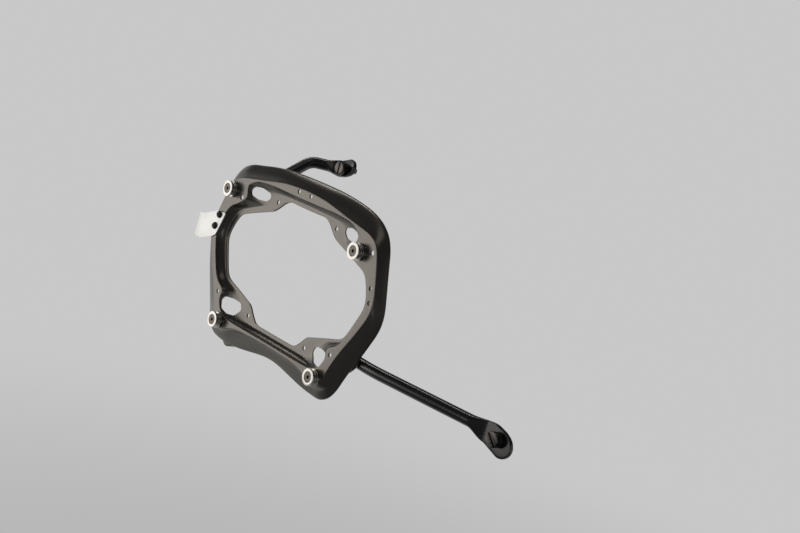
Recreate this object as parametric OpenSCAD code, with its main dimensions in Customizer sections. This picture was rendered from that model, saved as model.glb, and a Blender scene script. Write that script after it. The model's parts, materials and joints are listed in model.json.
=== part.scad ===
// Side pannier frame: a deep-drawn steel ring that carries a pannier on four turned rollers
// and fastens to a motorcycle with quarter-turn studs at a front strut, an upper arm and a
// lower socket. Right-hand side: +X points forward, -Y outboard, +Z up. The origin is on the
// front stud's axis, at the middle of its free tip. The shapes below are measured from the
// centre of the ring on its front face, and placed() moves them home. Millimetres.

/* [Shell] */
// Thickness of the drawn sheet
sheet_t = 2.5; // [2:0.25:3]
// Depth from the face to the inner flange
flange_depth = 13.5; // [12:0.5:16]
// Depth from the face to the outer rim
rim_depth = 20; // [18:1:24]
// Size of the bends along the face
bend = 3; // [2:0.5:4]
// Radius of the accessory holes
hole_r = 3.5; // [2.5:0.25:4]
// Half spacing of the holes in the four corner lobes
lobe_x = 77; // [74:1:80]
// Height of the upper lobe holes
lobe_top_z = 109.7; // [108:0.1:111]
// Height of the lower lobe holes
lobe_low_z = -74.7; // [-76:0.1:-74]

/* [Rollers] */
// Radius of the roller flanges
roller_r = 13; // [12:0.25:14]
// Length of a roller
roller_len = 12; // [11:0.5:14]
// Radius of the roller's waist
waist_r = 9.5; // [9:0.25:10.5]
// Nominal radius of the roller screws
screw_r = 4; // [3.5:0.5:4]

/* [Tubes] */
// Outer radius of the strut and arm tube
tube_r = 9; // [8:0.5:10]
// Tube wall
tube_wall = 2; // [1.5:0.5:3]
// Half thickness of the flattened tube end
flat_half = 3; // [2.5:0.5:3.5]
// Half width of the flattened tube end
flat_wide = 14.5; // [13:0.5:16]

/* [Quick studs] */
// Radius of the slotted stud head
head_r = 11; // [10:0.5:12]
// Radius of the stud shank
shank_r = 5; // [4.5:0.5:5.5]
// Length of the front and upper shanks behind the eye centre
shank_len = 20; // [19:1:26]
// Running gap round each shank
run_gap = 0.08; // [0.04:0.02:0.1]

/* [Reflector bracket] */
// Thickness of the bracket plate
bracket_t = 2; // [1.5:0.5:2.5]
// Nominal radius of the bracket screws
small_r = 3; // [2.5:0.5:3]

/* [Hidden] */

$fn = 48;
eps = 0.01;
thread_gap = 0.05;
screw_gap = 0.2;
fit_gap = 0.1;

// Half outlines of the shell, each from the top centre to the bottom centre, [x, z].
// They have the same number of corners, so that corner i of one lies by corner i of the next.
rim_half = [
    [0, 164.5], [70, 163], [110, 159], [142, 153.5], [168, 144], [187, 130],
    [198, 112], [207, 80], [227, 11], [204, -36], [190, -62], [178, -84],
    [167, -109], [155, -125], [136, -135], [92, -133], [0, -118]
];
// The rim reaches further out on its rear side, where the skirt flares more
rim_rear_half = [
    [0, 164.5], [70, 163], [110, 159], [142, 153.5], [176, 148], [198, 137],
    [209, 114], [214, 80], [226, 9], [215, -38], [204, -63], [193, -85],
    [183, -110], [167, -130], [136, -135], [92, -133], [0, -118]
];
face_out_half = [
    [0, 147.5], [55, 144.5], [95, 137.5], [135, 131], [166, 126], [184, 119],
    [194, 105], [206, 72], [218, 28], [199, -10], [176, -46], [165, -66],
    [157, -84], [150, -106], [128, -114], [86, -101], [0, -98]
];
face_in_half = [
    [0, 131.5], [86, 132.5], [122, 129.5], [147, 118], [140, 98], [160, 84],
    [178, 76], [189, 60], [201, 28], [186, -8], [167, -41], [141, -54],
    [145, -70], [134, -86], [112, -93.5], [80, -94], [0, -93.5]
];
wall_foot_half = [
    [0, 124], [54, 123], [76, 121], [94, 110], [101, 98], [137, 86],
    [168, 74], [180, 57], [190.5, 26], [177, -7], [160, -37], [117, -49.5],
    [103, -62], [95, -76], [79, -84.5], [60, -86], [0, -86]
];
flange_in_half = [
    [0, 117], [46, 118], [57, 113], [68, 103.5], [80, 94], [130, 78.5],
    [163, 67.5], [174, 51], [184, 25], [171, -5], [156, -35], [124, -43.5],
    [77, -57.5], [64, -71], [54, -79.5], [44, -81.5], [0, -81.5]
];
// How far each corner's rounding runs along the sides next to it
rim_cut = [30, 20, 20, 20, 20, 16, 16, 30, 26, 30, 20, 16, 14, 12, 14, 30, 30];
in_cut = [20, 16, 9, 7, 7, 9, 9, 12, 18, 16, 12, 8, 6, 7, 7, 6, 20];
// Shares of the width and of the depth from the face edge to the rim, for the two rails of the
// rounded skirt
mid_share = 0.82;
mid_depth = 0.55 * rim_depth;
shoulder_share = 0.5;
shoulder_depth = 0.27 * rim_depth;
// Where the lower skirt turns into the bottom web, for the last corners
web_half = [[164, -97], [154, -113], [132, -122], [88, -106.5], [0, -102.5]];
chords = 4;

// Openings cut through the corners
top_slot = [
    [142, 113], [139, 104], [127, 101], [106, 103], [98, 110], [99, 117.5], [118, 121.5], [136, 119]
];
low_slot = [
    [144, -70], [138, -83], [126, -87.5], [109, -86], [98, -73], [103, -63], [121, -61.5], [139, -63]
];
slot_cut = 4;

// Rollers: flange thickness, small chamfers, half length of the neck, countersink
roller_flange = 3.2;
chamfer = 0.5;
neck_half = 1.3;
sink_r = 0.6 * roller_r;
sink_top = roller_len - 0.8;
sink_foot = roller_len - 4.6;
// Roller screws: length behind the face, end, head edge, hexagon socket, and nut with its collar
screw_tail = 12;
screw_end = 0.6;
head_land = 0.5;
socket_r = 2.9;
socket_deep = 3.2;
nut_r = 7.5;
nut_h = 6;
collar_r = screw_r + 1.2;
collar_h = 2.6;
// Bracket screws: length, button head and hexagon socket, and nut
small_len = 12;
button_r = 5.8;
button_h = 3.5;
small_socket_r = 2.3;
small_socket_deep = 2.3;
small_nut_r = 5.7;
small_nut_h = 5.5;

roller_places = [[-183.5, 102], [155.5, 95.5], [-133.5, -101.5], [133.5, -101.5]];
corner_holes = [[183.5, 102], [155.5, 95.5], [133.5, -101.5]];
pair_holes = [[15.3, 141], [200, 55], [205, 35], [154, -59.5]];
bracket_holes = [[-200, 55], [-205, 35]];
bracket_outline = [
    [-185, 61], [-211, 59], [-243, 46], [-256, 45.5], [-257, 6], [-237, 5.5], [-208, 16], [-198, 22]
];

// Flat end of a tube round its stud's axis, [x, z]
eye_outline = [
    [-30, -10.5], [-31, 14], [-23, 17.5], [-9, 18.5], [11, 13.5], [23, 6],
    [27, -4], [25, -14], [17, -21], [7, -22.5], [-5, -18.5], [-19, -14]
];

// Stud places. The front and upper heads look along -Y, the lower one along +Y.
front_eye = [455, 60, -66];
upper_eye = [-44, 98, 184];
lower_eye = [-124, 41, -126];
bush_r = head_r - 3;
bush_flange = 5;
lower_shank = 17;
stud_clip_t = 1.5;
clip_back = flat_half + 0.3 + stud_clip_t;
clip_r = bush_r + 2;
lower_clip_r = bush_r - 0.4;
head_gap = 0.5;
head_h = 5.5;
slot_half = 1.4;
slot_deep = 3;
cross_deep = 5.5;
cross_hole_r = 1.9;
tip_r = shank_r - 0.2;
tip_edge = 0.6;
// The middle of the front stud's free tip is the origin of the whole part
home = front_eye + [0, (clip_back + shank_len - tip_edge) / 2, 0];

// Welded pieces stand this far from what they join
seam = 0.1;
rim_back = rim_depth + 0.4 * sheet_t + seam;
weld_plate_t = 2.6;

function lerp(a, b, t) = a + (b - a) * t;
function curve(a, b, c, t) = lerp(lerp(a, b, t), lerp(b, c, t), t);

// Closed outline from a front half and a rear half, without the rear's two corners on the axis
function joined(half, rear) = let (n = len(half))
    concat(half, [for (i = [n - 2:-1:1]) [-rear[i][0], rear[i][1]]]);
function whole_cut(cut) = let (n = len(cut)) concat(cut, [for (i = [n - 2:-1:1]) cut[i]]);

// Moves every side of a clockwise outline out by e
function side_normal(a, b) = let (d = (b - a) / norm(b - a)) [-d[1], d[0]];
function outset(pts, e) = let (n = len(pts)) [
    for (i = [0:n - 1]) let (
        before = side_normal(pts[(i + n - 1) % n], pts[i]),
        after = side_normal(pts[i], pts[(i + 1) % n])
    ) pts[i] + e * (before + after) / (1 + before * after)
];

// Rounds every corner with a curve of equal chords
function rounded(pts, cut) = let (n = len(pts)) [
    for (i = [0:n - 1]) let (
        p = pts[i],
        a = pts[(i + n - 1) % n] - p,
        b = pts[(i + 1) % n] - p,
        s = min(cut[i], 0.46 * norm(a), 0.46 * norm(b))
    ) for (k = [0:chords]) curve(p + a * s / norm(a), p, p + b * s / norm(b), k / chords)
];

// One rail of the shell: a rounded outline moved out by e and set at depth y
function rail_of(outline, cut, e, y) = [
    for (p = rounded(outset(outline, e), whole_cut(cut))) [p[0], y, p[1]]
];
function rail(half, cut, e, y) = rail_of(joined(half, half), cut, e, y);

// Outline of the skirt between the face edge and the rim. The web takes over in the last corners.
first_web = len(rim_half) - len(web_half);
mid_half = [
    for (i = [0:len(rim_half) - 1])
        i < first_web ? lerp(face_out_half[i], rim_half[i], mid_share) : web_half[i - first_web]
];
mid_rear_half = [for (i = [0:len(mid_half) - 1]) mid_half[i] + mid_share * (rim_rear_half[i] - rim_half[i])];
function shoulder_of(mid) = [
    for (i = [0:len(mid) - 1]) lerp(face_out_half[i], mid[i], shoulder_share / mid_share)
];
rim = joined(rim_half, rim_rear_half);
mid = joined(mid_half, mid_rear_half);
shoulder = joined(shoulder_of(mid_half), shoulder_of(mid_rear_half));

shell_rails = [
    rail_of(rim, rim_cut, 0, rim_depth),
    rail_of(mid, rim_cut, 0, mid_depth),
    rail_of(shoulder, rim_cut, 0, shoulder_depth),
    rail(face_out_half, rim_cut, 0, 0.8 * bend),
    rail(face_out_half, rim_cut, -0.3 * bend, 0.3 * bend),
    rail(face_out_half, rim_cut, -bend, 0),
    rail(face_in_half, in_cut, 0.4 * bend, 0),
    rail(face_in_half, in_cut, 0, 0.5 * bend),
    rail(wall_foot_half, in_cut, 0.8, flange_depth - 1.5),
    rail(wall_foot_half, in_cut, -0.6, flange_depth),
    rail(flange_in_half, in_cut, 0, flange_depth),
    rail(flange_in_half, in_cut, 0, flange_depth + sheet_t),
    rail(wall_foot_half, in_cut, 0.8 * sheet_t, flange_depth + sheet_t),
    rail(face_in_half, in_cut, 0.6 * sheet_t, sheet_t),
    rail(face_out_half, rim_cut, -0.9 * sheet_t, sheet_t),
    rail_of(shoulder, rim_cut, -0.8 * sheet_t, shoulder_depth + 0.8 * sheet_t),
    rail_of(mid, rim_cut, -sheet_t, mid_depth + 0.5 * sheet_t),
    rail_of(rim, rim_cut, -0.9 * sheet_t, rim_depth + 0.4 * sheet_t)
];

// Skin over closed rails that form a closed ring of sections
module ring_skin(rails) {
    m = len(rails);
    n = len(rails[0]);
    polyhedron(
        points = [for (r = rails) each r],
        faces = [
            for (j = [0:m - 1]) for (i = [0:n - 1]) let (
                a = j * n + i,
                b = j * n + (i + 1) % n,
                c = ((j + 1) % m) * n + (i + 1) % n,
                d = ((j + 1) % m) * n + i
            ) each [[a, b, c], [a, c, d]]
        ],
        convexity = 10
    );
}

// Places a child drawn along +Z so that it looks along -Y from [x, z] at depth y
module facing(x, z, y = 0) {
    translate([x, y, z]) rotate([90, 0, 0]) children();
}

module cut_outline(pts) {
    facing(0, 0, rim_depth + 10) linear_extrude(rim_depth + 20) polygon(pts);
}

// Turned solid from [radius, height] points
module turned(pts) {
    rotate_extrude() polygon(pts);
}

module carrier_shell() {
    color("#2b2a29") difference() {
        ring_skin(shell_rails);
        for (s = [-1, 1]) {
            cut_outline(rounded([for (p = top_slot) [s * p[0], p[1]]], [for (p = top_slot) slot_cut]));
            cut_outline(rounded([for (p = low_slot) [s * p[0], p[1]]], [for (p = low_slot) slot_cut]));
            for (p = corner_holes)
                facing(s * p[0], p[1], rim_depth) cylinder(r = screw_r + screw_gap, h = 2 * rim_depth);
            for (p = pair_holes)
                facing(s * p[0], p[1], rim_depth) cylinder(r = hole_r, h = 2 * rim_depth);
            for (z = [lobe_top_z, lobe_low_z])
                facing(s * lobe_x, z, rim_depth + 10) cylinder(r = hole_r, h = 2 * rim_depth);
        }
    }
}

// Waisted roller with turned rings, its back on the shell's face
module roller(i) {
    waist = roller_len / 2;
    color("#c9c9c6") facing(roller_places[i][0], roller_places[i][1]) turned([
        [screw_r + screw_gap, 0], [roller_r - chamfer, 0], [roller_r, chamfer],
        [roller_r, roller_flange - chamfer], [roller_r - chamfer, roller_flange],
        [waist_r + chamfer, waist - neck_half], [waist_r, waist - neck_half],
        [waist_r, waist + neck_half], [waist_r + chamfer, waist + neck_half],
        [roller_r - chamfer, roller_len - roller_flange], [roller_r, roller_len - roller_flange + chamfer],
        [roller_r, roller_len - chamfer], [roller_r - chamfer, roller_len],
        [sink_r + 0.6 * chamfer, roller_len], [sink_r, sink_top], [screw_r + screw_gap, sink_foot]
    ]);
}

// Countersunk socket screw that clamps a roller
module roller_screw(i) {
    head = sink_r - 2 * screw_gap;
    head_foot = sink_foot + (sink_top - sink_foot) * (head - screw_r) / (sink_r - screw_r - screw_gap);
    top = head_foot + head_land;
    edge = 0.6 * head_land;
    color("#3a3836") facing(roller_places[i][0], roller_places[i][1]) difference() {
        turned([
            [0, -screw_tail], [screw_r - screw_end, -screw_tail], [screw_r, screw_end - screw_tail],
            [screw_r, sink_foot], [head, head_foot], [head, top - edge], [head - edge, top], [0, top]
        ]);
        translate([0, 0, top - socket_deep]) cylinder(r = socket_r, h = socket_deep + 1, $fn = 6);
    }
}

// Hexagon nut behind the shell, on a narrow collar that clears the drawn wall
module roller_nut(i) {
    color("#8f8f8d") facing(roller_places[i][0], roller_places[i][1]) difference() {
        union() {
            translate([0, 0, -sheet_t - collar_h]) cylinder(r = collar_r, h = collar_h);
            translate([0, 0, -sheet_t - collar_h - nut_h]) cylinder(r = nut_r, h = nut_h + eps, $fn = 6);
        }
        translate([0, 0, -rim_depth]) cylinder(r = screw_r + thread_gap, h = 2 * rim_depth);
    }
}

// Flat plate for a reflector, screwed to the rear side of the ring
module reflector_bracket() {
    color("#dcdcda") facing(0, 0) difference() {
        linear_extrude(bracket_t) polygon(rounded(bracket_outline, [for (p = bracket_outline) 3]));
        for (p = bracket_holes)
            translate([p[0], p[1], -bracket_t]) cylinder(r = small_r + screw_gap, h = 3 * bracket_t);
    }
}

module bracket_screw(i) {
    top = bracket_t + button_h;
    color("#242322") facing(bracket_holes[i][0], bracket_holes[i][1]) difference() {
        union() {
            translate([0, 0, -small_len]) cylinder(r = small_r, h = small_len + bracket_t + eps);
            turned([
                [0, bracket_t], [button_r, bracket_t], [button_r, bracket_t + 0.3 * button_h],
                [0.8 * button_r, bracket_t + 0.83 * button_h], [0.6 * button_r, top], [0, top]
            ]);
        }
        translate([0, 0, top - small_socket_deep])
            cylinder(r = small_socket_r, h = small_socket_deep + 1, $fn = 6);
    }
}

module bracket_nut(i) {
    color("#8f8f8d") facing(bracket_holes[i][0], bracket_holes[i][1]) difference() {
        translate([0, 0, -sheet_t - small_nut_h]) cylinder(r = small_nut_r, h = small_nut_h, $fn = 6);
        translate([0, 0, -rim_depth]) cylinder(r = small_r + thread_gap, h = 2 * rim_depth);
    }
}

// Path with rounded corners in space
function bent(pts, cut) = let (n = len(pts)) concat(
    [pts[0]],
    [for (i = [1:n - 2]) let (
        p = pts[i], a = pts[i - 1] - p, b = pts[i + 1] - p,
        s = min(cut, 0.46 * norm(a), 0.46 * norm(b))
    ) for (k = [0:6]) curve(p + a * s / norm(a), p, p + b * s / norm(b), k / 6)],
    [pts[n - 1]]
);
// Section of a tube: half sizes w and t, and 1 for an ellipse down to 0.5 for a flattened one
function bulge(v, e) = sign(v) * pow(abs(v), e);
function section(p, tangent, ref, w, t, e, sides) = let (
    side = cross(tangent, ref) / norm(cross(tangent, ref)),
    up = cross(tangent, side)
) [for (i = [0:sides - 1]) let (a = 360 * (i + 0.5) / sides)
    p + side * w * bulge(cos(a), e) + up * t * bulge(sin(a), e)];
function path_tangent(path, i) = let (
    a = path[max(i - 1, 0)], b = path[min(i + 1, len(path) - 1)]
) (b - a) / norm(b - a);

module tube_skin(path, refs, wide, thick, square, sides = 20) {
    n = len(path);
    points = [
        for (i = [0:n - 1]) let (ref = lerp(refs[0], refs[1], i / (n - 1)))
            each section(path[i], path_tangent(path, i), ref, wide[i], thick[i], square[i], sides)
    ];
    polyhedron(
        points = points,
        faces = concat(
            [[for (i = [0:sides - 1]) i]],
            [[for (i = [sides - 1:-1:0]) (n - 1) * sides + i]],
            [for (j = [0:n - 2]) for (i = [0:sides - 1]) let (
                a = j * sides + i, b = j * sides + (i + 1) % sides
            ) each [[a, a + sides, b + sides], [a, b + sides, b]]]
        ),
        convexity = 6
    );
}

// Bent tube whose last stretch is pressed flat, with a round eye for a stud
module eyed_tube(path, refs, eye, outline) {
    n = len(path);
    round_part = n - 4;
    press = [for (i = [0:n - 1]) [0, 0.5, 1, 1][max(0, i - round_part)]];
    bore = [for (i = [0:round_part - 1]) path[i]];
    flat_ones = [for (p = bore) 1];
    difference() {
        union() {
            tube_skin(path, refs,
                [for (k = press) lerp(tube_r, flat_wide, k)],
                [for (k = press) lerp(tube_r, flat_half - 0.4, k)],
                [for (k = press) lerp(1, 0.5, k)]);
            translate(eye) rotate([90, 0, 0]) linear_extrude(2 * flat_half, center = true)
                polygon(rounded(outline, [for (p = outline) 6]));
        }
        tube_skin(
            concat([path[0] - 2 * path_tangent(path, 0)], [for (i = [1:round_part - 1]) path[i]]),
            [refs[0], lerp(refs[0], refs[1], round_part / n)],
            flat_ones * (tube_r - tube_wall), flat_ones * (tube_r - tube_wall), flat_ones);
        translate(eye) rotate([90, 0, 0]) cylinder(r = bush_r + fit_gap, h = 40, center = true);
    }
}

// Front strut: from behind the ring's front side to its eye
strut_y = rim_back + weld_plate_t + seam + tube_r;
strut_bends = bent([[148, strut_y, -58], [215, strut_y, -60], [402, 54.5, -60]], 20);
strut_path = concat(strut_bends, [[414, 57, -61], [426, 59, -62.5], [436, 60, -64], [448, 60, -65.5]]);
module front_strut() {
    color("#1d1d1e") eyed_tube(strut_path, [[0, -1, 0], [0, -1, 0]], front_eye, eye_outline);
}

// Plate welded across the back of the rim, with a leg [x, z, width, height] that reaches
// the inside of the sheet at depth y
module weld_plate(outline, leg, y) {
    facing(0, 0, rim_back + weld_plate_t)
        linear_extrude(weld_plate_t) polygon(rounded(outline, [for (p = outline) 5]));
    translate([leg[0], y, leg[1]]) cube([leg[2], rim_back + weld_plate_t / 2 - y, leg[3]]);
}

strut_plate = [[150, -34], [184, -34], [196.5, -52], [190, -66], [178, -78], [150, -78]];
strut_leg = [158, -62, 3, 13];
module strut_bracket() {
    color("#232324") weld_plate(strut_plate, strut_leg, sheet_t + seam);
}

arm_bends = bent([[-108, strut_y, 124], [-108, strut_y, 146], [-107, 77, 178.5], [-84, 91, 180]], 16);
arm_path = concat(arm_bends, [[-76, 95, 181], [-68, 98, 182.5], [-60, 98, 183.5], [-50, 98, 184]]);
module upper_arm() {
    color("#1d1d1e") eyed_tube(arm_path, [[0, -0.62, 0.78], [0, -1, 0.05]], upper_eye,
        [for (p = eye_outline) [0.82 * p[0], -0.82 * p[1]]]);
}

arm_plate = [[-130, 154.6], [-86, 160.3], [-86, 128], [-92, 122], [-124, 122], [-130, 128]];
arm_leg = [-120, 137, 16, 3];
arm_leg_foot = 11;
module arm_bracket() {
    color("#232324") weld_plate(arm_plate, arm_leg, arm_leg_foot);
}

// Cup welded to the back of the bottom web
module lower_socket() {
    deep = lower_eye[1] - rim_back;
    color("#232324") translate(lower_eye) rotate([-90, 0, 0]) difference() {
        translate([0, 0, -deep]) cylinder(r = flat_wide, h = deep + flat_half);
        translate([0, 0, -lower_shank - 1]) cylinder(r = bush_r + fit_gap, h = lower_shank + 10);
    }
}

// Quarter-turn stud: slotted head, shank, and a free tip with a cross slot for the lock
module stud(len) {
    under = flat_half + bush_flange + head_gap;
    top = under + head_h;
    color("#2a2a2b") difference() {
        turned([
            [0, -len], [tip_r - tip_edge, -len], [tip_r, tip_edge - len], [tip_r, -clip_back],
            [shank_r, -clip_back], [shank_r, under], [head_r - 1.5, under], [head_r, under + 1.5],
            [head_r, top - 1], [head_r - 1, top], [0, top]
        ]);
        translate([-slot_half, -head_r, -len - 1]) cube([2 * slot_half, 2 * head_r, cross_deep + 1]);
        translate([0, 0, cross_deep - len]) rotate([90, 0, 0])
            cylinder(r = cross_hole_r, h = 2 * head_r, center = true);
        translate([-slot_half, -head_r - 1, top - slot_deep])
            cube([2 * slot_half, 2 * head_r + 2, slot_deep + 1]);
    }
}

// Flanged bush that lines the eye, ribbed at its edge
module stud_bush() {
    edge = head_r - 0.5;
    rib = flat_half + 0.4 * bush_flange;
    top = flat_half + bush_flange;
    color("#171717") turned([
        [shank_r + run_gap, -flat_half], [bush_r, -flat_half], [bush_r, flat_half],
        [edge, flat_half], [edge, rib - 0.4], [edge - 1, rib], [edge, rib + 0.4],
        [edge, top], [shank_r + run_gap, top]
    ]);
}

// Clip on the shank that keeps the stud captive
module stud_clip(r) {
    color("#77777a") turned([
        [shank_r, -clip_back], [r, -clip_back],
        [r, stud_clip_t - clip_back], [shank_r, stud_clip_t - clip_back]
    ]);
}

module placed() { translate(-home) children(); }
module at_front() { translate(front_eye) rotate([90, 0, 0]) children(); }
module at_upper() { translate(upper_eye) rotate([90, 0, 0]) children(); }
module at_lower() { translate(lower_eye) rotate([-90, 0, 0]) children(); }

placed() carrier_shell();
placed() strut_bracket();
placed() front_strut();
placed() arm_bracket();
placed() upper_arm();
placed() lower_socket();
placed() roller(0);  // roller_rear_top
placed() roller(1);  // roller_front_top
placed() roller(2);  // roller_rear_bottom
placed() roller(3);  // roller_front_bottom
placed() roller_screw(0);  // roller_screw_rear_top
placed() roller_screw(1);  // roller_screw_front_top
placed() roller_screw(2);  // roller_screw_rear_bottom
placed() roller_screw(3);  // roller_screw_front_bottom
placed() roller_nut(0);  // roller_nut_rear_top
placed() roller_nut(1);  // roller_nut_front_top
placed() roller_nut(2);  // roller_nut_rear_bottom
placed() roller_nut(3);  // roller_nut_front_bottom
placed() reflector_bracket();
placed() bracket_screw(0);  // bracket_screw_upper
placed() bracket_screw(1);  // bracket_screw_lower
placed() bracket_nut(0);  // bracket_nut_upper
placed() bracket_nut(1);  // bracket_nut_lower
placed() at_front() stud(shank_len);  // front_stud
placed() at_front() stud_bush();  // front_stud_bush
placed() at_front() stud_clip(clip_r);  // front_stud_clip
placed() at_upper() stud(shank_len);  // upper_stud
placed() at_upper() stud_bush();  // upper_stud_bush
placed() at_upper() stud_clip(clip_r);  // upper_stud_clip
placed() at_lower() stud(lower_shank);  // lower_stud
placed() at_lower() stud_bush();  // lower_stud_bush
placed() at_lower() stud_clip(lower_clip_r);  // lower_stud_clip
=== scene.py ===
"""A side pannier frame: a drawn ring with turned rollers, a strut, an upper arm and quarter-turn studs."""

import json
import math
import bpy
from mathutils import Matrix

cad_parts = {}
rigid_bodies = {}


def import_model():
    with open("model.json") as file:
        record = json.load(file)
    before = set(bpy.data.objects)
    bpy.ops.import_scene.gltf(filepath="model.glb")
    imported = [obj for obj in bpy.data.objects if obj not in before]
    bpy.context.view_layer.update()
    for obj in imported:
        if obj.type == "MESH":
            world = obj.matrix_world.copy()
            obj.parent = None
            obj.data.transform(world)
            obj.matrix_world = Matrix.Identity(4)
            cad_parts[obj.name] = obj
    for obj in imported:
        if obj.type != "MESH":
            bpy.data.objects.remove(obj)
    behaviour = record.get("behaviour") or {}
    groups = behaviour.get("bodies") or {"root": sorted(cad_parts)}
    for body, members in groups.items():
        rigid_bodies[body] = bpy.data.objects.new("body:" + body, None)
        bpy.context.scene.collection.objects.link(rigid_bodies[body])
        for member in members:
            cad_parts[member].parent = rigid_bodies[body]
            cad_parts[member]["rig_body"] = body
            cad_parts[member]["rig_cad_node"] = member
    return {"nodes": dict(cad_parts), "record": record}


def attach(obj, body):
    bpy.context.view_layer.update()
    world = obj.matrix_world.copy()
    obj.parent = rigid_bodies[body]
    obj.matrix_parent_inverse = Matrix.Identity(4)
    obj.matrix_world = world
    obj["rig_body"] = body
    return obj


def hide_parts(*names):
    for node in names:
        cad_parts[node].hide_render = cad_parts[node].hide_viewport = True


bl_info = {
    "name": "Pannier frame",
    "version": (1, 0, 0),
    "blender": (4, 5, 0),
    "location": "View3D > Sidebar > Pannier frame",
    "description": "Dresses the pannier frame's solids and sets its stage",
    "category": "Object",
}

import bpy
from mathutils import Matrix, Vector

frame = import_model()
NODES = frame["nodes"]
BODIES = frame["record"]["behaviour"]["bodies"]
PLACES = ("rear_top", "front_top", "rear_bottom", "front_bottom")
MM = 0.001
# Level direction away from the camera
BEHIND = (-0.672, 0.741, 0.0)
# Centre of the ring on its front face
CENTRE = Vector((-455.0, -72.1, 66.0)) * MM

# Half outlines of the ring in millimetres from its centre, each from the top centre to the bottom centre.
# The skirt lies between the rim and the face's outer edge, the inner wall between its inner edge and foot.
RIM_FRONT = [
    (0, 164.5), (70, 163), (110, 159), (142, 153.5), (168, 144), (187, 130),
    (198, 112), (207, 80), (227, 11), (204, -36), (190, -62), (178, -84),
    (167, -109), (155, -125), (136, -135), (92, -133), (0, -118),
]
RIM_REAR = [
    (0, 164.5), (70, 163), (110, 159), (142, 153.5), (176, 148), (198, 137),
    (209, 114), (214, 80), (226, 9), (215, -38), (204, -63), (193, -85),
    (183, -110), (167, -130), (136, -135), (92, -133), (0, -118),
]
FACE_OUT = [
    (0, 147.5), (55, 144.5), (95, 137.5), (135, 131), (166, 126), (184, 119),
    (194, 105), (206, 72), (218, 28), (199, -10), (176, -46), (165, -66),
    (157, -84), (150, -106), (128, -114), (86, -101), (0, -98),
]
FACE_IN = [
    (0, 131.5), (86, 132.5), (122, 129.5), (147, 118), (140, 98), (160, 84),
    (178, 76), (189, 60), (201, 28), (186, -8), (167, -41), (141, -54),
    (145, -70), (134, -86), (112, -93.5), (80, -94), (0, -93.5),
]
WALL_FOOT = [
    (0, 124), (54, 123), (76, 121), (94, 110), (101, 98), (137, 86),
    (168, 74), (180, 57), (190.5, 26), (177, -7), (160, -37), (117, -49.5),
    (103, -62), (95, -76), (79, -84.5), (60, -86), (0, -86),
]
FLANGE_IN = [
    (0, 117), (46, 118), (57, 113), (68, 103.5), (80, 94), (130, 78.5),
    (163, 67.5), (174, 51), (184, 25), (171, -5), (156, -35), (124, -43.5),
    (77, -57.5), (64, -71), (54, -79.5), (44, -81.5), (0, -81.5),
]
# Where the skirt ends along the bottom, as a web that stays close to the face's edge
WEB = [(164, -97), (154, -113), (132, -122), (88, -106.5), (0, -102.5)]
# How far each corner of an outer and of an inner outline is rounded
RIM_CUT = [30, 20, 20, 20, 20, 16, 16, 30, 26, 30, 20, 16, 14, 12, 14, 30, 30]
IN_CUT = [20, 16, 9, 7, 7, 9, 9, 12, 18, 16, 12, 8, 6, 7, 7, 6, 20]
TOP_SLOT = [
    (142, 113), (139, 104), (127, 101), (106, 103), (98, 110), (99, 117.5), (118, 121.5), (136, 119),
]
LOW_SLOT = [
    (144, -70), (138, -83), (126, -87.5), (109, -86), (98, -73), (103, -63), (121, -61.5), (139, -63),
]
# Depths of the flange's front and of the skirt's rim behind the face
FLANGE_Y = 13.5
RIM_Y = 20.0
# Radius of the round holes and their centres on one half: roller screws, then accessory holes
HOLES = [
    (4.2, [(183.5, 102), (155.5, 95.5), (133.5, -101.5)]),
    (3.5, [(15.3, 141), (200, 55), (205, 35), (154, -59.5), (77, 109.7), (77, -74.7)]),
]
HOLE_SIDES = 32
# How far the slots' corners are rounded
SLOT_CUT = 4
# Cutters start this far in front of the face and are this long
CUTTER_LEAD = 12
CUTTER_LENGTH = 50

# Points closer than this are one point, in metres
MERGE = 0.000002
# A rounded corner takes up at most this share of the sides next to it
CORNER_SHARE = 0.46
SPIN_STEPS = 72
TUBE_SIDES = 40
BEND_CHORDS = 12


# Selecting and finishing


def in_mm(length):
    """A property's length in millimetres."""
    return round(length / MM, 4)


def only(obj):
    """Selects one object alone and makes it the active one."""
    bpy.ops.object.select_all(action="DESELECT")
    obj.select_set(True)
    bpy.context.view_layer.objects.active = obj
    return obj


def whole_mesh(obj):
    """Opens a piece in edit mode with all of its mesh selected."""
    only(obj)
    bpy.ops.object.mode_set(mode="EDIT")
    bpy.ops.mesh.select_all(action="SELECT")


def added(name):
    """Names the piece just added and puts its place into its mesh."""
    obj = only(bpy.context.object)
    obj.name = name
    obj.data.name = name
    bpy.ops.object.transform_apply(location=True, rotation=True, scale=True)
    return obj


def body_of(node):
    return next(body for body, nodes in BODIES.items() if node in nodes)


def dressed(obj, node, finish, angle=35.0):
    """Smooths a piece up to an angle in degrees, paints it and lets it stand for a solid of the frame."""
    only(obj)
    if not obj.data.polygons:
        raise RuntimeError(obj.name + " has no faces")
    bpy.ops.object.shade_smooth_by_angle(angle=math.radians(angle))
    obj.data.materials.clear()
    obj.data.materials.append(FINISHES[finish].material)
    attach(obj, body_of(node))
    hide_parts(node)


def skin_of(node, name):
    """A merged copy of a solid, for a smooth finish."""
    only(NODES[node])
    bpy.ops.object.duplicate()
    obj = only(bpy.context.object)
    obj.name = name
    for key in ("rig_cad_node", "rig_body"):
        if key in obj:
            del obj[key]
    whole_mesh(obj)
    bpy.ops.mesh.remove_doubles(threshold=MERGE)
    bpy.ops.mesh.tris_convert_to_quads(face_threshold=math.radians(3), shape_threshold=math.radians(60))
    bpy.ops.object.mode_set(mode="OBJECT")
    return obj


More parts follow.
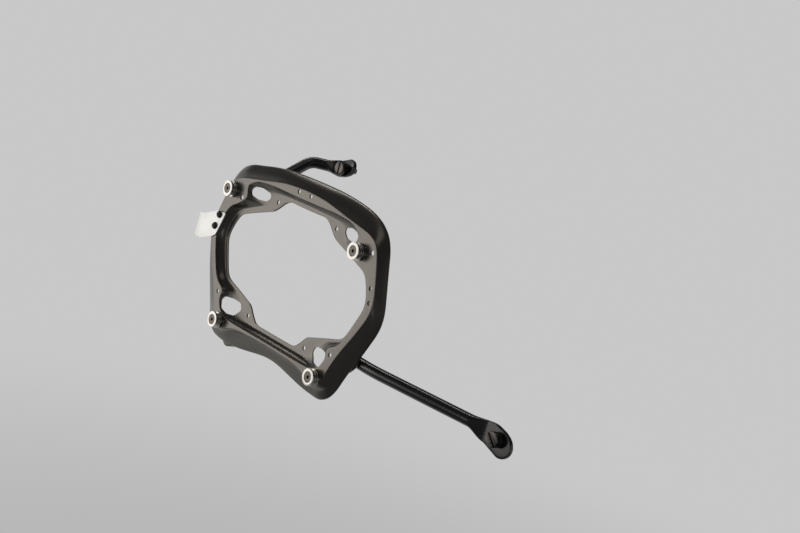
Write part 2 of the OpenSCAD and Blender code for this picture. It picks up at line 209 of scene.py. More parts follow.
def edged(node, width, segments=2):
    """A copy of a solid whose sharp edges are broken."""
    return applied(
        skin_of(node, node + "_edged"), "BEVEL",
        width=width * MM, segments=segments, limit_method="ANGLE", angle_limit=math.radians(40),
    )


def applied(obj, kind, **settings):
    """Adds a modifier and applies it."""
    only(obj)
    modifier = obj.modifiers.new(kind.title(), kind)
    for key, value in settings.items():
        setattr(modifier, key, value)
    bpy.ops.object.modifier_apply(modifier=modifier.name)
    return obj


def carved(obj, cutter):
    """Cuts one piece out of another and removes the cutter."""
    applied(obj, "BOOLEAN", operation="DIFFERENCE", solver="EXACT", object=cutter)
    bpy.data.objects.remove(cutter)
    return obj


def outward(obj):
    """Merges doubles and turns the faces outwards."""
    whole_mesh(obj)
    bpy.ops.mesh.remove_doubles(threshold=MERGE)
    bpy.ops.mesh.normals_make_consistent(inside=False)
    bpy.ops.object.mode_set(mode="OBJECT")
    return obj


def skinned(name, points, faces):
    """A piece made of points and faces."""
    mesh = bpy.data.meshes.new(name)
    mesh.from_pydata(points, [], faces)
    piece = bpy.data.objects.new(name, mesh)
    bpy.context.collection.objects.link(piece)
    return piece


def turned(name, profile, centre):
    """A solid spun from a closed profile of (radius, height) points round the line from back to front."""
    bpy.ops.object.select_all(action="DESELECT")
    bpy.ops.mesh.primitive_circle_add(vertices=len(profile), radius=1.0)
    piece = added(name)
    axis = Vector((0, -1, 0))
    out = Vector((1, 0, 0))
    for corner, (radius, height) in zip(piece.data.vertices, profile):
        corner.co = centre + (out * radius + axis * height) * MM
    whole_mesh(piece)
    bpy.ops.mesh.spin(steps=SPIN_STEPS, angle=math.tau, center=centre, axis=axis)
    bpy.ops.object.mode_set(mode="OBJECT")
    return outward(piece)


# Outlines of the ring


def mixed_outline(low, high, share):
    """An outline part of the way from one outline to another."""
    return [Vector(a).lerp(Vector(b), share) for a, b in zip(low, high)]


def joined_halves(front, rear):
    """A closed outline of a front half and a mirrored rear half."""
    return [Vector(p) for p in front] + [Vector((-p[0], p[1])) for p in rear[-2:0:-1]]


def outset(points, distance):
    """Moves every side of a clockwise outline out."""
    moved = []
    for i, point in enumerate(points):
        before = (point - points[i - 1]).normalized()
        after = (points[(i + 1) % len(points)] - point).normalized()
        before = Vector((-before.y, before.x))
        after = Vector((-after.y, after.x))
        moved.append(point + distance * (before + after) / (1 + before.dot(after)))
    return moved


def corner_curve(before, point, after, cut, chords):
    """Points of the curve that rounds a corner."""
    back, ahead = before - point, after - point
    reach = min(cut, CORNER_SHARE * back.length, CORNER_SHARE * ahead.length)
    start, end = point + back.normalized() * reach, point + ahead.normalized() * reach
    steps = [k / chords for k in range(chords + 1)]
    return [start.lerp(point, t).lerp(point.lerp(end, t), t) for t in steps]


def rounded(points, cuts, chords, pieces=None):
    """Rounds the corners of a closed outline and divides its straight sides into pieces."""
    corners = [
        corner_curve(points[i - 1], point, points[(i + 1) % len(points)], cuts[i], chords)
        for i, point in enumerate(points)
    ]
    outline = []
    for i, corner in enumerate(corners):
        outline += corner
        if pieces:
            start, end = corner[-1], corners[(i + 1) % len(corners)][0]
            outline += [start.lerp(end, k / pieces[i]) for k in range(1, pieces[i])]
    return outline


def swept(name, path, refs, sizes, straight=0):
    """A closed tube along a path. Each size is half width, half thickness and the power that rounds it.

    The two refs give the direction of the thickness at the start and the end of the path. The last
    sections, as many as straight says, stand square to X.
    """
    points, faces = [], []
    last = len(path) - 1
    for i, place in enumerate(path):
        tangent = (path[min(i + 1, last)] - path[max(i - 1, 0)]).normalized()
        if i > last - straight:
            tangent = Vector((1, 0, 0))
        side = tangent.cross(refs[0].lerp(refs[1], i / last)).normalized()
        up = tangent.cross(side)
        wide, thick, power = sizes[i]
        for k in range(TUBE_SIDES):
            turn = math.tau * (k + 0.5) / TUBE_SIDES
            a = math.copysign(abs(math.cos(turn)) ** power, math.cos(turn))
            b = math.copysign(abs(math.sin(turn)) ** power, math.sin(turn))
            points.append(CENTRE + (place + side * wide * a + up * thick * b) * MM)
    faces.append(tuple(range(TUBE_SIDES)))
    faces.append(tuple(last * TUBE_SIDES + k for k in reversed(range(TUBE_SIDES))))
    for i in range(last):
        for k in range(TUBE_SIDES):
            a, b = i * TUBE_SIDES + k, i * TUBE_SIDES + (k + 1) % TUBE_SIDES
            faces.append((a, a + TUBE_SIDES, b + TUBE_SIDES, b))
    return outward(skinned(name, points, faces))


def bent(points, cut):
    """A path with rounded corners."""
    points = [Vector(p) for p in points]
    path = [points[0]]
    for before, point, after in zip(points, points[1:], points[2:]):
        path += corner_curve(before, point, after, cut, BEND_CHORDS)
    return path + [points[-1]]


# Shader maths


class Value:
    """A number in a material. Arithmetic on it adds Math nodes."""

    def __init__(self, finish, socket):
        self.finish = finish
        self.socket = socket

    def _maths(self, operation, a, b):
        node = self.finish.node("ShaderNodeMath", {"operation": operation}, {0: a, 1: b})
        return Value(self.finish, node.outputs[0])

    def __add__(self, other):
        return self._maths("ADD", self, other)

    def __mul__(self, other):
        return self._maths("MULTIPLY", self, other)

    __radd__ = __add__
    __rmul__ = __mul__


class Finish:
    """A material with one Principled shader."""

    def __init__(self, name, colour, roughness=0.5, metallic=0.0, specular=0.5):
        self.material = bpy.data.materials.new(name)
        self.material.use_nodes = True
        self.tree = self.material.node_tree
        self.shader = self.tree.nodes["Principled BSDF"]
        self.put("Base Color", (*colour, 1.0))
        self.put("Roughness", roughness)
        self.put("Metallic", metallic)
        self.put("Specular IOR Level", specular)

    def put(self, name, value):
        """Sets a socket of the shader to a number or links a value to it."""
        socket = self.shader.inputs[name]
        if isinstance(value, Value):
            self.tree.links.new(value.socket, socket)
        else:
            socket.default_value = value

    def node(self, kind, settings, sockets):
        """Adds a node: its settings first, then the values or links of its sockets."""
        node = self.tree.nodes.new(kind)
        for key, value in settings.items():
            setattr(node, key, value)
        for key, value in sockets.items():
            if isinstance(value, Value):
                self.tree.links.new(value.socket, node.inputs[key])
            else:
                node.inputs[key].default_value = value
        return node

    def place(self, scale=(1, 1, 1)):
        """Object coordinates, stretched by scale."""
        source = self.node("ShaderNodeTexCoord", {}, {})
        place = Value(self, source.outputs["Object"])
        mapping = self.node("ShaderNodeMapping", {}, {"Vector": place, "Scale": scale})
        return Value(self, mapping.outputs[0])

    def noise(self, place, scale, detail=3.0):
        """Soft noise from 0 to 1, with as many cells to the metre as scale says."""
        node = self.node("ShaderNodeTexNoise", {}, {"Vector": place, "Scale": scale, "Detail": detail})
        return Value(self, node.outputs["Fac"])

    def mixed(self, factor, low, high):
        """One colour blended into another. Sockets 6 and 7 are the colours and output 2 their mix."""
        node = self.node(
            "ShaderNodeMix", {"data_type": "RGBA"}, {"Factor": factor, 6: (*low, 1.0), 7: (*high, 1.0)}
        )
        return Value(self, node.outputs[2])

    def bump(self, height, distance, strength):
        """Relief that a height of 1 lifts by a distance in metres."""
        sockets = {"Height": height, "Distance": distance, "Strength": strength}
        self.put("Normal", Value(self, self.node("ShaderNodeBump", {}, sockets).outputs[0]))


# Finish of each slot of the record
FINISHES = {}


def make_finishes(look):
    """Makes every finish. A finish whose roughness varies gets it from its own pattern."""
    coat = FINISHES["shell_black"] = Finish("powder_coat", look.coat, metallic=0.85, specular=1.0)
    grain = coat.noise(coat.place(), 1100.0, 1.0)
    patch = coat.noise(coat.place(), 9.0)
    coat.put("Roughness", 0.23 + 0.05 * grain + 0.06 * patch)
    coat.bump(grain, 0.000006, 0.3)

    tube = FINISHES["tube_black"] = Finish("gloss_paint", look.tube, specular=0.9)
    tube.put("Roughness", 0.2 + 0.05 * tube.noise(tube.place(), 30.0))

    lathe = FINISHES["roller_metal"] = Finish("turned_metal", look.metal, metallic=1.0)
    lathe.put("Roughness", 0.16 + 0.12 * lathe.noise(lathe.place((1, 6, 1)), 700.0))

    dark = FINISHES["screw_dark"] = Finish("dark_screw_steel", (0.17, 0.155, 0.14), metallic=1.0)
    dark.put("Roughness", 0.3 + 0.16 * dark.noise(dark.place(), 300.0))
    FINISHES["screw_black"] = Finish("black_screw_steel", (0.045, 0.044, 0.043), 0.4, 0.6)
    FINISHES["nut_zinc"] = Finish("zinc", (0.55, 0.55, 0.54), 0.34, 1.0)

    plate = FINISHES["bracket_steel"] = Finish("bright_plate", look.plate, metallic=1.0)
    streaks = plate.noise(plate.place((1, 1, 60)), 60.0)
    plate.put("Roughness", 0.36 + 0.14 * streaks)
    plate.bump(streaks, 0.00003, 0.4)

    FINISHES["stud_black"] = Finish("blackened_steel", (0.13, 0.12, 0.11), 0.26, 0.85)
    FINISHES["rubber_black"] = Finish("black_bush", (0.03, 0.03, 0.03), 0.3, specular=0.8)


# Settings


def colour_property(name, description, default):
    return bpy.props.FloatVectorProperty(
        name=name, description=description, subtype="COLOR", size=3, min=0.0, max=1.0, default=default
    )


def length_property(name, description, default):
    return bpy.props.FloatProperty(
        name=name, description=description, subtype="DISTANCE", unit="LENGTH", min=0.0001, precision=4,
        default=default,
    )


class PannierFrameSizes(bpy.types.PropertyGroup):
    """Sizes of the pieces that are modelled here."""

    sheet: length_property("Sheet", "Thickness of the ring's sheet", 0.0025)
    tube_radius: length_property("Tube radius", "Outer radius of the strut and the arm", 0.009)
    tube_wall: length_property("Tube wall", "Thickness of the tubes' wall", 0.002)
    bush_radius: length_property("Bush radius", "Radius of the bushes in the tubes' eyes", 0.008)
    slot_lean: bpy.props.FloatProperty(
        name="Slot lean", description="Turn of the front stud's slot from upright", subtype="ANGLE",
        unit="ROTATION", default=math.radians(47.0),
    )


class PannierFrameLook(bpy.types.PropertyGroup):
    """Colours of the finishes."""

    coat: colour_property("Powder coat", "Colour of the ring's powder coat", (0.17, 0.158, 0.142))
    tube: colour_property("Tube coat", "Colour of the strut and the arm", (0.014, 0.014, 0.015))
    metal: colour_property("Rollers", "Colour of the turned rollers", (0.6, 0.58, 0.55))
    plate: colour_property("Plate", "Colour of the reflector bracket", (0.8, 0.8, 0.79))


class PannierFrameStage(bpy.types.PropertyGroup):
    """Camera and light."""

    camera: bpy.props.FloatVectorProperty(
        name="Camera", description="Place of the camera", subtype="TRANSLATION", unit="LENGTH", size=3,
        default=(1.16086, -1.31372, 0.43597),
    )
    lens: bpy.props.FloatProperty(
        name="Lens", description="Focal length in millimetres", unit="CAMERA", min=20.0, default=61.64
    )
    background: colour_property("Background", "Colour of the floor and backdrop", (0.58, 0.58, 0.58))


# Pieces


# The skirt ends at this share of the way from the face's edge to the rim. The rim's lip goes on from there.
SKIRT_SHARE = 0.82
RING_CHORDS = 4
# The ring's straight sides are divided into pieces of about this length
RING_PIECE = 14


def ring_rails(sheet):
    """Closed rails of the ring's section, from the rim over the face and the flange and back behind them."""
    first_web = len(RIM_FRONT) - len(WEB)

    def skirt(rim, share):
        low_rims = zip(WEB, rim[first_web:], RIM_FRONT[first_web:])
        web = [Vector(edge) + SKIRT_SHARE * (Vector(a) - Vector(b)) for edge, a, b in low_rims]
        middle = mixed_outline(FACE_OUT[:first_web], rim[:first_web], SKIRT_SHARE) + web
        return mixed_outline(FACE_OUT, middle, share)

    def outline(share):
        return joined_halves(skirt(RIM_FRONT, share), skirt(RIM_REAR, share))

    def wall(share):
        half = mixed_outline(FACE_IN, WALL_FOOT, share)
        return joined_halves(half, half)

    rim = joined_halves(RIM_FRONT, RIM_REAR)
    face_out = outline(0)
    face_in = wall(0)
    foot = wall(1)
    flange = joined_halves(FLANGE_IN, FLANGE_IN)
    out_cut = RIM_CUT + RIM_CUT[-2:0:-1]
    in_cut = IN_CUT + IN_CUT[-2:0:-1]
    # Outline, how far its corners are rounded, distance moved out, depth behind the face
    section = [
        (rim, out_cut, 0, RIM_Y), (rim, out_cut, 0, RIM_Y - 0.7), (rim, out_cut, -0.4, RIM_Y - 3.6),
        (outline(1), out_cut, 0.1, 12.9), (outline(0.88), out_cut, 0, 10.6),
        (outline(0.7), out_cut, 0, 7.9), (outline(0.5), out_cut, 0, 5.4), (outline(0.3), out_cut, 0, 3.3),
        (outline(0.12), out_cut, 0, 1.75), (face_out, out_cut, 0.25, 0.75), (face_out, out_cut, -0.5, 0.22),
        (face_out, out_cut, -1.3, 0), (face_out, out_cut, -3.4, 0), (face_in, in_cut, 2.4, 0),
        (face_in, in_cut, 0.9, 0), (face_in, in_cut, 0.2, 0.35), (face_in, in_cut, -0.1, 1.1),
        (wall(0.08), in_cut, 0, 3.6), (wall(0.24), in_cut, 0, 7.2), (wall(0.5), in_cut, 0, 10.6),
        (wall(0.82), in_cut, 0, 13.0), (foot, in_cut, 0, FLANGE_Y - 0.1), (foot, in_cut, -1.6, FLANGE_Y),
        (flange, in_cut, 0.5, FLANGE_Y), (flange, in_cut, 0, FLANGE_Y + 0.4),
        (flange, in_cut, 0, FLANGE_Y + sheet - 0.4), (flange, in_cut, 0.4, FLANGE_Y + sheet),
        (foot, in_cut, 0.5, FLANGE_Y + sheet), (wall(0.5), in_cut, 0.6 * sheet, 10.6 + 0.9 * sheet),
        (wall(0.2), in_cut, 0.8 * sheet, 7.4 + 0.5 * sheet), (face_in, in_cut, 0.8 * sheet, sheet + 1.2),
        (face_in, in_cut, 1.2 * sheet, sheet), (face_out, out_cut, -1.2 * sheet, sheet),
        (face_out, out_cut, -0.8 * sheet, 1.4 * sheet),
        (outline(0.5), out_cut, -0.8 * sheet, 6.2 + 0.7 * sheet),
        (outline(1), out_cut, -sheet, 12.2 + 0.4 * sheet), (rim, out_cut, -sheet, RIM_Y - 1),
        (rim, out_cut, -0.9 * sheet, RIM_Y + 0.4 * sheet - 0.5),
        (rim, out_cut, -0.7 * sheet, RIM_Y + 0.4 * sheet),
    ]
    sides = [(rim[(i + 1) % len(rim)] - rim[i]).length for i in range(len(rim))]
    pieces = [max(1, round(side / RING_PIECE)) for side in sides]
    return [
        [CENTRE + Vector((p.x, y, p.y)) * MM for p in rounded(outset(line, out), cut, RING_CHORDS, pieces)]
        for line, cut, out, y in section
    ]


def ring_skin(name, sheet):
    """Skin over the rails, each joined to the next and the last to the first."""
    rails = ring_rails(sheet)
    count = len(rails[0])
    points = [p for rail in rails for p in rail]
    faces = []
    for j in range(len(rails)):
        for i in range(count):
            low, high = j * count, (j + 1) % len(rails) * count
            faces.append((low + i, low + (i + 1) % count, high + (i + 1) % count, high + i))
    ring = skinned(name, points, faces)
    whole_mesh(ring)
    bpy.ops.mesh.normals_make_consistent(inside=False)
    bpy.ops.object.mode_set(mode="OBJECT")
    return applied(ring, "SUBSURF", levels=1, render_levels=1)


def through_cutter(points):
    """A prism through the ring over an outline of points across and up from its centre."""
    bpy.ops.object.select_all(action="DESELECT")
    bpy.ops.mesh.primitive_circle_add(vertices=len(points), fill_type="NGON", radius=1.0)
    cutter = added("slot_cutter")
    for corner, point in zip(cutter.data.vertices, points):
        corner.co = CENTRE + Vector((point.x, -CUTTER_LEAD, point.y)) * MM
    whole_mesh(cutter)
    bpy.ops.mesh.extrude_region_move(TRANSFORM_OT_translate={"value": (0, CUTTER_LENGTH * MM, 0)})
    bpy.ops.mesh.select_all(action="SELECT")
    bpy.ops.mesh.normals_make_consistent(inside=False)
    bpy.ops.object.mode_set(mode="OBJECT")
    return cutter


def ring_cutters():
    """All that is cut through the ring, joined into one cutter."""
    cutters = []
    turns = [math.tau * k / HOLE_SIDES for k in range(HOLE_SIDES)]
    for side in (-1, 1):
        for slot in (TOP_SLOT, LOW_SLOT):
            points = [Vector((side * x, z)) for x, z in slot]
            cutters.append(through_cutter(rounded(points, [SLOT_CUT] * len(points), 5)))
        for radius, places in HOLES:
            for x, z in places:
                middle = Vector((side * x, z))
                points = [middle + radius * Vector((math.cos(turn), math.sin(turn))) for turn in turns]
                cutters.append(through_cutter(points))
    bpy.ops.object.select_all(action="DESELECT")
    for cutter in cutters:
        cutter.select_set(True)
    bpy.context.view_layer.objects.active = cutters[0]
    bpy.ops.object.join()
    return bpy.context.object


class PANNIER_OT_shell(bpy.types.Operator):
    """Draw the ring and dress what is welded to it"""

    bl_idname = "pannier.shell"
    bl_label = "Ring"

    def execute(self, context):
        sheet = in_mm(context.scene.pannier_sizes.sheet)
        ring = carved(ring_skin("ring", sheet), ring_cutters())
        dressed(ring, "carrier_shell", "shell_black", angle=38.0)
        for node in ("strut_bracket", "arm_bracket", "lower_socket"):
            dressed(edged(node, width=0.5), node, "shell_black")
        return {"FINISHED"}


# Depth of the tubes' straight runs behind the face
TUBE_Y = 32.9
# Bends of the tubes and middles of their eyes
STRUT_BENDS = [(148, TUBE_Y, -58), (215, TUBE_Y, -60), (402, 54.5, -60)]
FRONT_EYE = (455, 60, -66)
ARM_BENDS = [(-108, TUBE_Y, 124), (-108, TUBE_Y, 146), (-107, 77, 178.5), (-84, 91, 180)]
UPPER_EYE = (-44, 98, 184)
# Half the thickness of the pressed eyes and the power that squares their edges
FLAT_HALF = 3.0
EYE_POWER = 0.22
# Outline of the front eye round its middle and the upper eye's share of it, turned upside down
EYE_OUTLINE = [
    (-30, -10.5), (-31, 14), (-23, 17.5), (-9, 18.5), (11, 13.5), (23, 6),
    (27, -4), (25, -14), (17, -21), (7, -22.5), (-5, -18.5), (-19, -14),
]
UPPER_SHARE = 0.82
# The eye starts this far inside its outline and has this many sections, the last just short of its end
EYE_START = 8
EYE_STEPS = 40
EYE_END = 0.998
# The tube is pressed flat over this many sections
PRESS_STEPS = 14
# Clearance of the bush in its eye, and how far cutters reach past what they cut
BUSH_GAP = 0.1
BORE_LEAD = 2
EYE_REACH = 20


def eye_stations(eye, outline):
    """Middle and half height of the eye plate at steps along its length."""
    outline = rounded([Vector(p) for p in outline], [6] * len(outline), 6)
    low, high = min(p.x for p in outline) + EYE_START, max(p.x for p in outline)
    stations = []
    for k in range(EYE_STEPS + 1):
        along = low + (high - low) * EYE_END * math.sin(math.pi / 2 * k / EYE_STEPS)
        cuts = []
        for p, q in zip(outline, outline[1:] + outline[:1]):
            if (p.x - along) * (q.x - along) < 0:
                cuts.append(p.y + (q.y - p.y) * (along - p.x) / (q.x - p.x))
        half = (max(cuts) - min(cuts)) / 2
        stations.append((Vector((eye.x + along, eye.y, eye.z + min(cuts) + half)), half))
    return stations


def curve_point(start, first, second, end, t):
    """A point of the curve that leaves start towards first and comes to end from second."""
    return start * (1 - t) ** 3 + first * 3 * t * (1 - t) ** 2 + second * 3 * t * t * (1 - t) + end * t ** 3


def eyed_tube(name, bends, refs, eye, outline, bend_reach):
    """A bent tube whose end is pressed flat into an eye."""
    measures = bpy.context.scene.pannier_sizes
    radius, bush = in_mm(measures.tube_radius), in_mm(measures.bush_radius) + BUSH_GAP
    bore_radius = radius - in_mm(measures.tube_wall)
    bends, eye = bent(bends, bend_reach), Vector(eye)
    refs = [Vector(r) for r in refs]
    stations = eye_stations(eye, outline)

    # The round run, then a curve on which it is pressed to the first section of the eye
    path = list(bends)
    sizes = [(radius, radius, 1.0)] * len(bends)
    foot, half = stations[0]
    gap = (foot - bends[-1]).length
    first = bends[-1] + (bends[-1] - bends[-2]).normalized() * gap / 3
    second = foot - Vector((gap / 3, 0, 0))
    for k in range(1, PRESS_STEPS):
        t = k / PRESS_STEPS
        path.append(curve_point(bends[-1], first, second, foot, t))
        press = t * t * (3 - 2 * t)
        wide, thick = radius + (half - radius) * press, radius + (FLAT_HALF - radius) * press
        sizes.append((wide, thick, 1 - (1 - EYE_POWER) * press))
    for place, half in stations:
        path.append(place)
        sizes.append((half, FLAT_HALF, EYE_POWER))
    tube = swept(name, path, refs, sizes, straight=len(stations))

    start = path[0] - (path[1] - path[0]).normalized() * BORE_LEAD
    bore = swept("bore", [start] + bends[1:-2], refs, [(bore_radius, bore_radius, 1)] * (len(bends) - 2))
    carved(tube, bore)
    eye_bore = [(0.01, -EYE_REACH), (bush, -EYE_REACH), (bush, EYE_REACH), (0.01, EYE_REACH)]
    return carved(tube, turned("eye_bore", eye_bore, CENTRE + eye * MM))


class PANNIER_OT_tubes(bpy.types.Operator):
    """Bend the strut and the arm and press their eyes"""

    bl_idname = "pannier.tubes"
    bl_label = "Tubes"

    def execute(self, context):
        refs = [(0, -1, 0), (0, -1, 0)]
        strut = eyed_tube("strut", STRUT_BENDS, refs, FRONT_EYE, EYE_OUTLINE, bend_reach=20)
        dressed(strut, "front_strut", "tube_black", angle=40.0)
        refs = [(0, -0.62, 0.78), (0, -1, 0.05)]
        small_eye = [(UPPER_SHARE * x, -UPPER_SHARE * z) for x, z in EYE_OUTLINE]
        arm = eyed_tube("arm", ARM_BENDS, refs, UPPER_EYE, small_eye, bend_reach=16)
        dressed(arm, "upper_arm", "tube_black", angle=40.0)
        return {"FINISHED"}


# Where the rollers stand on the face, in the order of PLACES
ROLLER_PLACES = [(-183.5, 102), (155.5, 95.5), (-133.5, -101.5), (133.5, -101.5)]
# Radius and height of the roller's section from its back, then how far each corner is rounded
ROLLER_SECTION = [
    (4.2, 0, 0.001), (13, 0, 0.6), (13, 3.2, 0.7), (10, 3.5, 0.5), (9.5, 4.7, 0.4), (9.5, 7.3, 0.4),
    (10, 8.5, 0.5), (13, 8.8, 0.7), (13, 10, 0.15), (12.7, 10.2, 0.1), (13, 10.4, 0.15), (13, 12, 0.7),
    (8, 12, 0.25), (7.7, 11.3, 0.2), (4.2, 7.4, 0.001),
]


def make_rollers():
    """One turned roller, then its copies, each with its own mesh."""
    corners = [Vector((radius, height)) for radius, height, _ in ROLLER_SECTION]
    profile = [tuple(p) for p in rounded(corners, [cut for _, _, cut in ROLLER_SECTION], 3)]
    first_x, first_z = ROLLER_PLACES[0]
    first = turned("roller_" + PLACES[0] + "_turned", profile, CENTRE + Vector((first_x, 0, first_z)) * MM)
    dressed(first, "roller_" + PLACES[0], "roller_metal", angle=32.0)
    for place, (x, z) in zip(PLACES[1:], ROLLER_PLACES[1:]):
        only(first)
        bpy.ops.object.duplicate()
        bpy.ops.transform.translate(value=Vector((x - first_x, 0, z - first_z)) * MM)
        roller = added("roller_" + place + "_turned")
        dressed(roller, "roller_" + place, "roller_metal", angle=32.0)


class PANNIER_OT_rollers(bpy.types.Operator):
    """Turn the rollers and dress their screws and nuts"""

    bl_idname = "pannier.rollers"
    bl_label = "Rollers"

    def execute(self, context):
        make_rollers()
        for place in PLACES:
            for kind, finish in (("roller_screw_", "screw_dark"), ("roller_nut_", "nut_zinc")):
                dressed(edged(kind + place, width=0.2), kind + place, finish)
        return {"FINISHED"}


class PANNIER_OT_bracket(bpy.types.Operator):
    """Dress the reflector bracket and its screws"""

    bl_idname = "pannier.bracket"
    bl_label = "Reflector bracket"

    def execute(self, context):
        plate = edged("reflector_bracket", width=0.35, segments=3)
        dressed(plate, "reflector_bracket", "bracket_steel")
        for end in ("upper", "lower"):
            for kind, finish in (("bracket_screw_", "screw_black"), ("bracket_nut_", "nut_zinc")):
                dressed(edged(kind + end, width=0.2), kind + end, finish)
        return {"FINISHED"}


STUD_KINDS = (("_stud", "stud_black"), ("_stud_bush", "rubber_black"), ("_stud_clip", "nut_zinc"))


def lean_slot(stud, turn):
    """Turns the front stud round its axis until its slot leans as it does in use."""
    whole_mesh(stud)
    middle = CENTRE + Vector(FRONT_EYE) * MM
    bpy.ops.transform.rotate(value=turn, orient_axis="Y", orient_type="GLOBAL", center_override=middle)
    bpy.ops.object.mode_set(mode="OBJECT")


class PANNIER_OT_studs(bpy.types.Operator):
    """Dress the quarter-turn studs"""

    bl_idname = "pannier.studs"
    bl_label = "Quarter-turn studs"

    def execute(self, context):
        for end in ("front", "upper", "lower"):
            for kind, finish in STUD_KINDS:
                piece = edged(end + kind, width=0.3)
                if end + kind == "front_stud":
                    lean_slot(piece, context.scene.pannier_sizes.slot_lean)
                dressed(piece, end + kind, finish)
        return {"FINISHED"}


# Stage

WARM = (1.0, 0.965, 0.92)
COOL = (0.93, 0.965, 1.0)
# Name of each lamp, its direction from the ring, distance, size, radiance and colour. The side light is
# what the face mirrors, and the narrow lights draw lines along the bends and the tubes.
LAMPS = [
    ("side_light", (-0.712, -0.686, -0.12), 1.82, (1.3, 0.95), 1.2, WARM),
    ("ridge_light", (-0.76, -0.6, 0.24), 2.0, (1.2, 0.05), 4.0, WARM),
    ("edge_light", (-0.26, -0.95, -0.1), 2.2, (0.06, 1.2), 3.0, COOL),
    ("fill_light", (0.72, -0.66, -0.18), 2.4, (0.16, 1.3), 3.2, COOL),
    ("strip_light", (-0.6, 0.1, 0.79), 2.2, (0.13, 1.1), 8.5, WARM),
    ("top_light", (0.2, -0.35, 1.0), 2.0, (1.0, 1.0), 0.4, WARM),
]
ROOM_LIGHT = 0.06
# The floor's middle and radius, and its wall: steps, height of a full step, steepest turn and growth
FLOOR_CENTRE = (-0.3, 0.0, -0.62)
FLOOR_RADIUS = 4.2
WALL_STEPS = 8
WALL_STEP = 0.55
WALL_TURN = 80
WALL_GROWTH = 0.06
# How bright the floor's painted shade is on the camera's side, as a share of its colour
NEAR_PAINTED_SHADE_SHARE = 0.2
# Directions of the picture's right and up edges
CAMERA_RIGHT = (0.61742, 0.73912, 0.26923)
CAMERA_UP = (-0.28535, -0.10850, 0.95226)


def soft_light(name, toward, distance, size, radiance, colour):
    """An area light that faces the ring from a direction, as bright as a white wall at a radiance of 1."""
    bpy.ops.object.light_add(type="AREA", location=CENTRE + Vector(toward).normalized() * distance)
    lamp = bpy.context.object
    lamp.name = name
    lamp.data.shape = "RECTANGLE"
    lamp.data.size, lamp.data.size_y = size
    lamp.data.energy = math.pi * size[0] * size[1] * radiance
    lamp.data.color = colour
    lamp.rotation_euler = (CENTRE - lamp.location).to_track_quat("-Z", "Y").to_euler()


def backdrop_paint(colour):
    """Paint that is pale behind the object, grey on the camera's side and softly shaded near it. The grey is
    painted shade, darker towards the camera and under the object.
    """
    paint = Finish("backdrop_paint", colour, 0.9, specular=0.0)
    place = Value(paint, paint.node("ShaderNodeTexCoord", {}, {}).outputs["Object"])

    def ramp(operation, vectors, start, end, low, high):
        """A smooth step from low to high while a measure of the vectors goes from start to end."""
        measure = paint.node("ShaderNodeVectorMath", {"operation": operation}, vectors)
        measure = Value(paint, measure.outputs["Value"])
        ends = {"Value": measure, "From Min": start, "From Max": end, "To Min": low, "To Max": high}
        node = paint.node("ShaderNodeMapRange", {"interpolation_type": "SMOOTHSTEP"}, ends)
        return Value(paint, node.outputs[0])

    # Painted shade: the floor's colour darkens towards the camera's side and under the object, both as the
    # camera sees it and in reflections
    behind = ramp("DOT_PRODUCT", {0: place, 1: BEHIND}, 0.05, 0.6, 0.0, 1.0)
    shade = paint.mixed(behind, [NEAR_PAINTED_SHADE_SHARE * c for c in colour], colour)
    paint.put("Base Color", shade)
    far = ramp("LENGTH", {0: place}, 0.6, 2.6, 0.72, 1.0)
    ray = paint.node("ShaderNodeLightPath", {}, {})
    seen = Value(paint, ray.outputs["Is Camera Ray"])
    for kind in ("Is Glossy Ray", "Is Transmission Ray"):
        seen = seen + Value(paint, ray.outputs[kind])
    plain = paint.node("ShaderNodeEmission", {}, {"Color": shade})
    mix = paint.node("ShaderNodeMixShader", {}, {0: seen * far})
    out = paint.tree.nodes["Material Output"]
    paint.tree.links.new(paint.shader.outputs[0], mix.inputs[1])
    paint.tree.links.new(plain.outputs[0], mix.inputs[2])
    paint.tree.links.new(mix.outputs[0], out.inputs["Surface"])
    return paint.material


def make_backdrop(colour):
    """A round floor whose far edge rises as a low wall."""
    bpy.ops.object.select_all(action="DESELECT")
    bpy.ops.mesh.primitive_circle_add(
        vertices=96, radius=FLOOR_RADIUS, fill_type="NGON", location=FLOOR_CENTRE
    )
    floor = added("floor")
    whole_mesh(floor)
    for k in range(WALL_STEPS):
        turn = math.radians(WALL_TURN * (k + 0.5) / WALL_STEPS)
        rise = {"value": (0, 0, WALL_STEP * math.sin(turn))}
        bpy.ops.mesh.extrude_edges_move(TRANSFORM_OT_translate=rise)
        grow = 1 + WALL_GROWTH * math.cos(turn)
        bpy.ops.transform.resize(value=(grow, grow, 1), center_override=FLOOR_CENTRE)
    bpy.ops.object.mode_set(mode="OBJECT")
    bpy.ops.object.shade_smooth()
    floor.data.materials.append(backdrop_paint(colour))


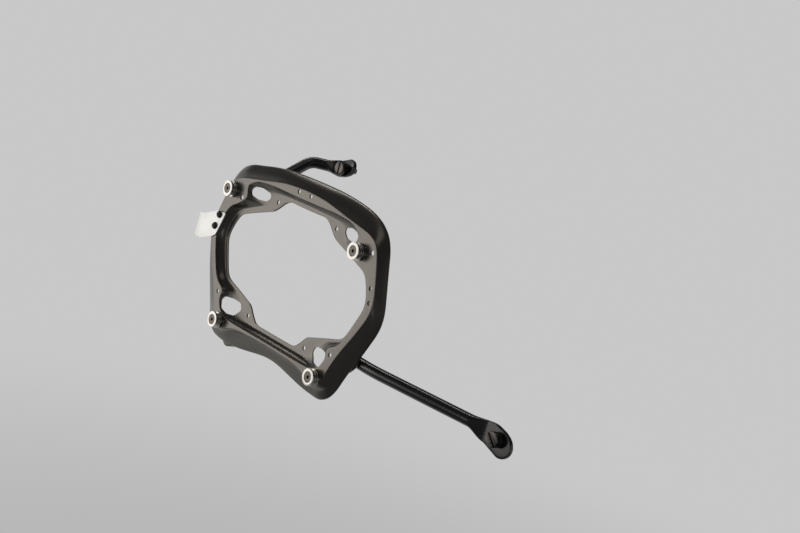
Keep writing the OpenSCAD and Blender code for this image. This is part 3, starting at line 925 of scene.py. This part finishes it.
class PANNIER_OT_stage(bpy.types.Operator):
    """Set the floor, the light and the camera"""

    bl_idname = "pannier.stage"
    bl_label = "Stage"

    def execute(self, context):
        stage = context.scene.pannier_stage
        scene = context.scene
        scene.view_settings.view_transform = "Standard"
        make_backdrop(stage.background)

        world = bpy.data.worlds.new("studio")
        scene.world = world
        world.use_nodes = True
        lit = world.node_tree.nodes["Background"]
        lit.inputs["Color"].default_value = (1.0, 1.0, 1.0, 1.0)
        lit.inputs["Strength"].default_value = ROOM_LIGHT
        for lamp in LAMPS:
            soft_light(*lamp)

        bpy.ops.object.camera_add(location=stage.camera)
        camera = context.object
        camera.name = "camera"
        camera.data.lens = stage.lens
        camera.data.sensor_width = 36.0
        camera.data.clip_start = 0.01
        right, up = Vector(CAMERA_RIGHT), Vector(CAMERA_UP)
        turn = Matrix((right, up, right.cross(up))).transposed().to_4x4()
        camera.matrix_world = Matrix.Translation(stage.camera) @ turn
        scene.camera = camera
        return {"FINISHED"}


OPERATORS = (
    PANNIER_OT_shell,
    PANNIER_OT_tubes,
    PANNIER_OT_rollers,
    PANNIER_OT_bracket,
    PANNIER_OT_studs,
    PANNIER_OT_stage,
)


class PANNIER_PT_panel(bpy.types.Panel):
    """Sidebar panel with one button for each group of pieces"""

    bl_idname = "PANNIER_PT_panel"
    bl_label = "Pannier frame"
    bl_space_type = "VIEW_3D"
    bl_region_type = "UI"
    bl_category = "Pannier frame"

    def draw(self, context):
        for operator in OPERATORS:
            self.layout.operator(operator.bl_idname)


GROUPS = {
    "pannier_sizes": PannierFrameSizes,
    "pannier_look": PannierFrameLook,
    "pannier_stage": PannierFrameStage,
}
CLASSES = (*GROUPS.values(), *OPERATORS, PANNIER_PT_panel)


def register():
    for item in CLASSES:
        bpy.utils.register_class(item)
    for name, group in GROUPS.items():
        setattr(bpy.types.Scene, name, bpy.props.PointerProperty(type=group))


def unregister():
    for name in GROUPS:
        delattr(bpy.types.Scene, name)
    for item in reversed(CLASSES):
        bpy.utils.unregister_class(item)


def main():
    register()
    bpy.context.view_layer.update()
    make_finishes(bpy.context.scene.pannier_look)
    bpy.ops.pannier.stage()
    bpy.ops.pannier.shell()
    bpy.ops.pannier.tubes()
    bpy.ops.pannier.rollers()
    bpy.ops.pannier.bracket()
    bpy.ops.pannier.studs()


if __name__ == "__main__":
    main()
